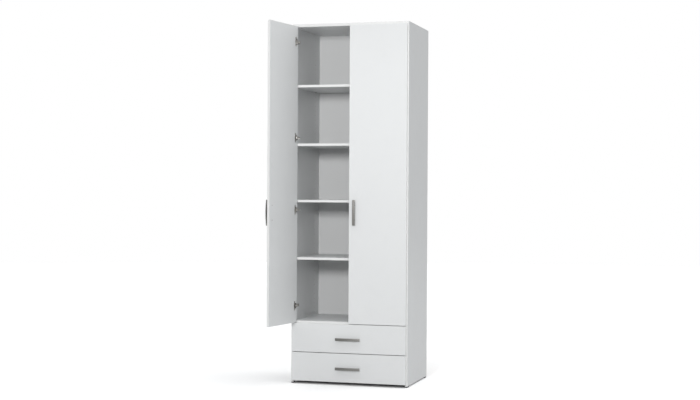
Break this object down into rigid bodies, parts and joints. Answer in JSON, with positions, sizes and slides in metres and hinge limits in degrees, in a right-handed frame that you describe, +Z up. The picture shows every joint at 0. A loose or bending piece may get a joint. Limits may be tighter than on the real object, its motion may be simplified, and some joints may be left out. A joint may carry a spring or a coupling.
{
  "type": "wardrobe with doors",
  "caption": "Tall white wardrobe with swinging doors on concealed hinges, shelves behind them and roller-run drawers below.",
  "frame": {"origin": "lower front left corner of the carcass on the floor, the outer front corner of the front left glide's foot", "axes": "+X to the right across the front, +Y to the back, +Z up; the left door is stored standing open and the right door and drawers closed"},
  "size_m": [0.8615, 0.9542, 2.4],
  "materials": {
    "backing": "white-lacquered hardboard",
    "beech": "fluted beech dowel",
    "edge_band": "white melamine with plastic edge band",
    "glide_plastic": "moulded dark grey plastic",
    "handle_metal": "brushed nickel",
    "melamine": "white melamine foil on chipboard, fine satin grain",
    "nickel": "nickel-plated pressed steel",
    "roller_plastic": "moulded nylon",
    "runner_paint": "white epoxy powder coat",
    "zinc": "bright zinc plate"
  },
  "bodies": {
    "carcass": {"side_panel_left": "melamine", "side_panel_right": "melamine", "top_panel": "melamine", "shelf_fixed": "melamine", "middle_panel": "melamine", "base_panel": "melamine", "back_panel_lower": "backing", "back_panel_upper": "backing", "shelf_upper": "melamine", "shelf_middle": "melamine", "shelf_lower": "melamine", "shelf_pins": "zinc", "cam_locks": "zinc", "cam_bolts": "zinc", "dowels": "beech", "glides": "glide_plastic", "hinge_arms_left": "nickel", "hinge_arms_right": "nickel", "hinge_plates_left": "nickel", "hinge_plates_right": "nickel", "hinge_plate_screws": "nickel", "cabinet_runners": "runner_paint", "runner_screws": "zinc"},
    "door_left": {"door_left": "edge_band", "handle_door_left": "handle_metal", "handle_screws_door_left": "zinc", "hinge_cups_left": "nickel", "hinge_cup_screws_left": "nickel"},
    "outer_links_left": {"hinge_links_outer_left": "nickel"},
    "inner_links_left": {"hinge_links_inner_left": "nickel"},
    "door_right": {"door_right": "edge_band", "handle_door_right": "handle_metal", "handle_screws_door_right": "zinc", "hinge_cups_right": "nickel", "hinge_cup_screws_right": "nickel"},
    "outer_links_right": {"hinge_links_outer_right": "nickel"},
    "inner_links_right": {"hinge_links_inner_right": "nickel"},
    "drawer_upper": {"drawer_front_upper": "edge_band", "drawer_side_upper_left": "melamine", "drawer_side_upper_right": "melamine", "drawer_back_upper": "melamine", "drawer_bottom_upper": "backing", "handle_drawer_upper": "handle_metal", "handle_screws_drawer_upper": "zinc", "drawer_brackets_upper": "zinc", "drawer_rails_upper": "runner_paint"},
    "cabinet_rollers_upper": {"cabinet_rollers_upper": "roller_plastic"},
    "drawer_rollers_upper": {"drawer_rollers_upper": "roller_plastic"},
    "drawer_lower": {"drawer_front_lower": "edge_band", "drawer_side_lower_left": "melamine", "drawer_side_lower_right": "melamine", "drawer_back_lower": "melamine", "drawer_bottom_lower": "backing", "handle_drawer_lower": "handle_metal", "handle_screws_drawer_lower": "zinc", "drawer_brackets_lower": "zinc", "drawer_rails_lower": "runner_paint"},
    "cabinet_rollers_lower": {"cabinet_rollers_lower": "roller_plastic"},
    "drawer_rollers_lower": {"drawer_rollers_lower": "roller_plastic"}
  },
  "joints": [
    {"name": "door_swing_left", "type": "hinge", "parent": "outer_links_left", "child": "door_left", "pos_m": [0.03268, -0.02098, 0], "axis": [0, 0, -1], "range_deg": [-149.4, 1.51]},
    {"name": "outer_link_swing_left", "type": "hinge", "parent": "carcass", "child": "outer_links_left", "pos_m": [0.0429, -0.0014, 0], "axis": [0, 0, 1], "range_deg": [-50.9, 1.01]},
    {"name": "inner_link_swing_left", "type": "hinge", "parent": "carcass", "child": "inner_links_left", "pos_m": [0.0457, 0.0051, 0], "axis": [0, 0, 1], "range_deg": [-42.6, 0.93]},
    {"name": "door_swing_right", "type": "hinge", "parent": "outer_links_right", "child": "door_right", "pos_m": [0.7787, -0.006, 0], "axis": [0, 0, 1], "range_deg": [0, 150.91]},
    {"name": "outer_link_swing_right", "type": "hinge", "parent": "carcass", "child": "outer_links_right", "pos_m": [0.7571, -0.0014, 0], "axis": [0, 0, -1], "range_deg": [0, 51.41]},
    {"name": "inner_link_swing_right", "type": "hinge", "parent": "carcass", "child": "inner_links_right", "pos_m": [0.7543, 0.0051, 0], "axis": [0, 0, -1], "range_deg": [0, 43.03]},
    {"name": "drawer_slide_upper", "type": "slide", "parent": "carcass", "child": "drawer_upper", "axis": [0, -1, 0], "range_m": [0, 0.38]},
    {"name": "cabinet_roller_spin_upper", "type": "hinge", "parent": "carcass", "child": "cabinet_rollers_upper", "pos_m": [0.4, 0.016, 0.25125], "axis": [1, 0, 0], "range_deg": [0, 2292.8]},
    {"name": "drawer_roller_spin_upper", "type": "hinge", "parent": "drawer_upper", "child": "drawer_rollers_upper", "pos_m": [0.4, 0.486, 0.24875], "axis": [1, 0, 0], "range_deg": [0, 2292.8]},
    {"name": "drawer_slide_lower", "type": "slide", "parent": "carcass", "child": "drawer_lower", "axis": [0, -1, 0], "range_m": [0, 0.38]},
    {"name": "cabinet_roller_spin_lower", "type": "hinge", "parent": "carcass", "child": "cabinet_rollers_lower", "pos_m": [0.4, 0.016, 0.05725], "axis": [1, 0, 0], "range_deg": [0, 2292.8]},
    {"name": "drawer_roller_spin_lower", "type": "hinge", "parent": "drawer_lower", "child": "drawer_rollers_lower", "pos_m": [0.4, 0.486, 0.05475], "axis": [1, 0, 0], "range_deg": [0, 2292.8]}
  ],
  "couplings": [
    {"joint": "outer_link_swing_left", "follows": "door_swing_left", "ratio": 0.33735},
    {"joint": "inner_link_swing_left", "follows": "door_swing_left", "ratio": 0.28179},
    {"joint": "outer_link_swing_right", "follows": "door_swing_right", "ratio": 0.33735},
    {"joint": "inner_link_swing_right", "follows": "door_swing_right", "ratio": 0.28179},
    {"joint": "cabinet_roller_spin_upper", "follows": "drawer_slide_upper", "rad_per_m": 105.26},
    {"joint": "drawer_roller_spin_upper", "follows": "drawer_slide_upper", "rad_per_m": 105.26},
    {"joint": "cabinet_roller_spin_lower", "follows": "drawer_slide_lower", "rad_per_m": 105.26},
    {"joint": "drawer_roller_spin_lower", "follows": "drawer_slide_lower", "rad_per_m": 105.26}
  ]
}
